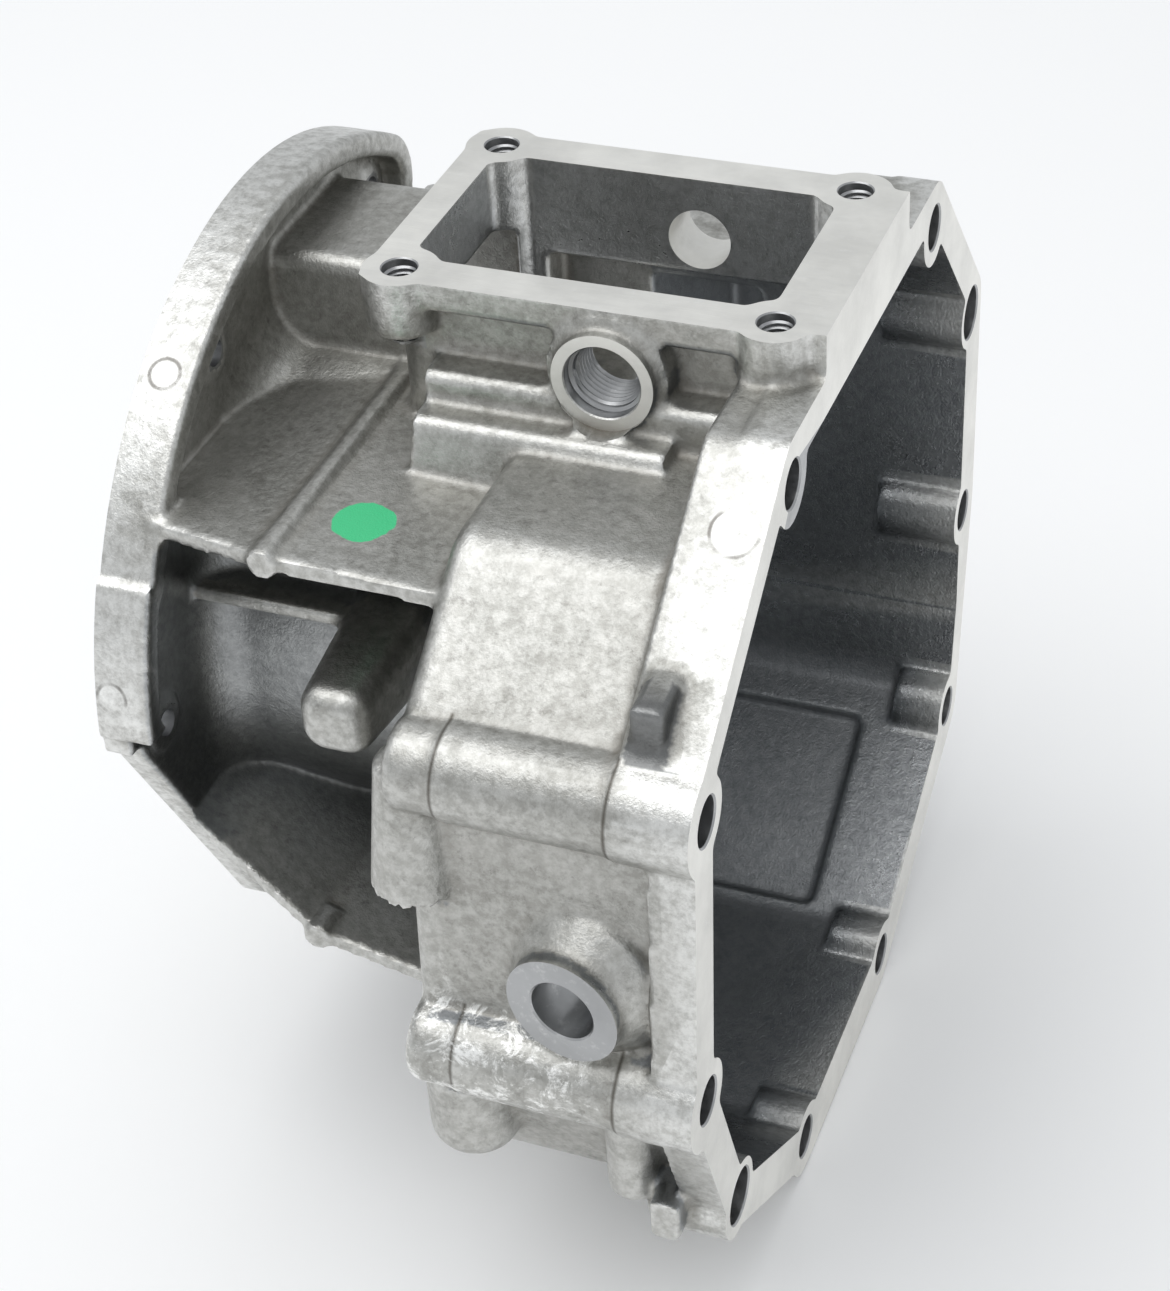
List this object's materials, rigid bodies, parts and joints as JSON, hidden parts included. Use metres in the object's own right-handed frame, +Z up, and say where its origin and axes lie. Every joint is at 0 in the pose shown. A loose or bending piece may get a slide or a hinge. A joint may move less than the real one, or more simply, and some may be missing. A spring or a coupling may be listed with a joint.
{
  "type": "transmission tail housing",
  "caption": "Cast gearbox rear housing with a ten-sided front flange, a round rear joint plate and an open rectangular shift face on top.",
  "frame": {"origin": "centre of the shaft bore in the rear joint face", "axes": "+X along the shaft to the front joint face, +Z up to the shift face, -Y the side with the threaded plug boss"},
  "size_m": [0.15, 0.2391, 0.239],
  "materials": {
    "cast_aluminium": "as cast, machined on the joint faces"
  },
  "bodies": {
    "root": {"tail_housing": "cast_aluminium"}
  },
  "joints": []
}
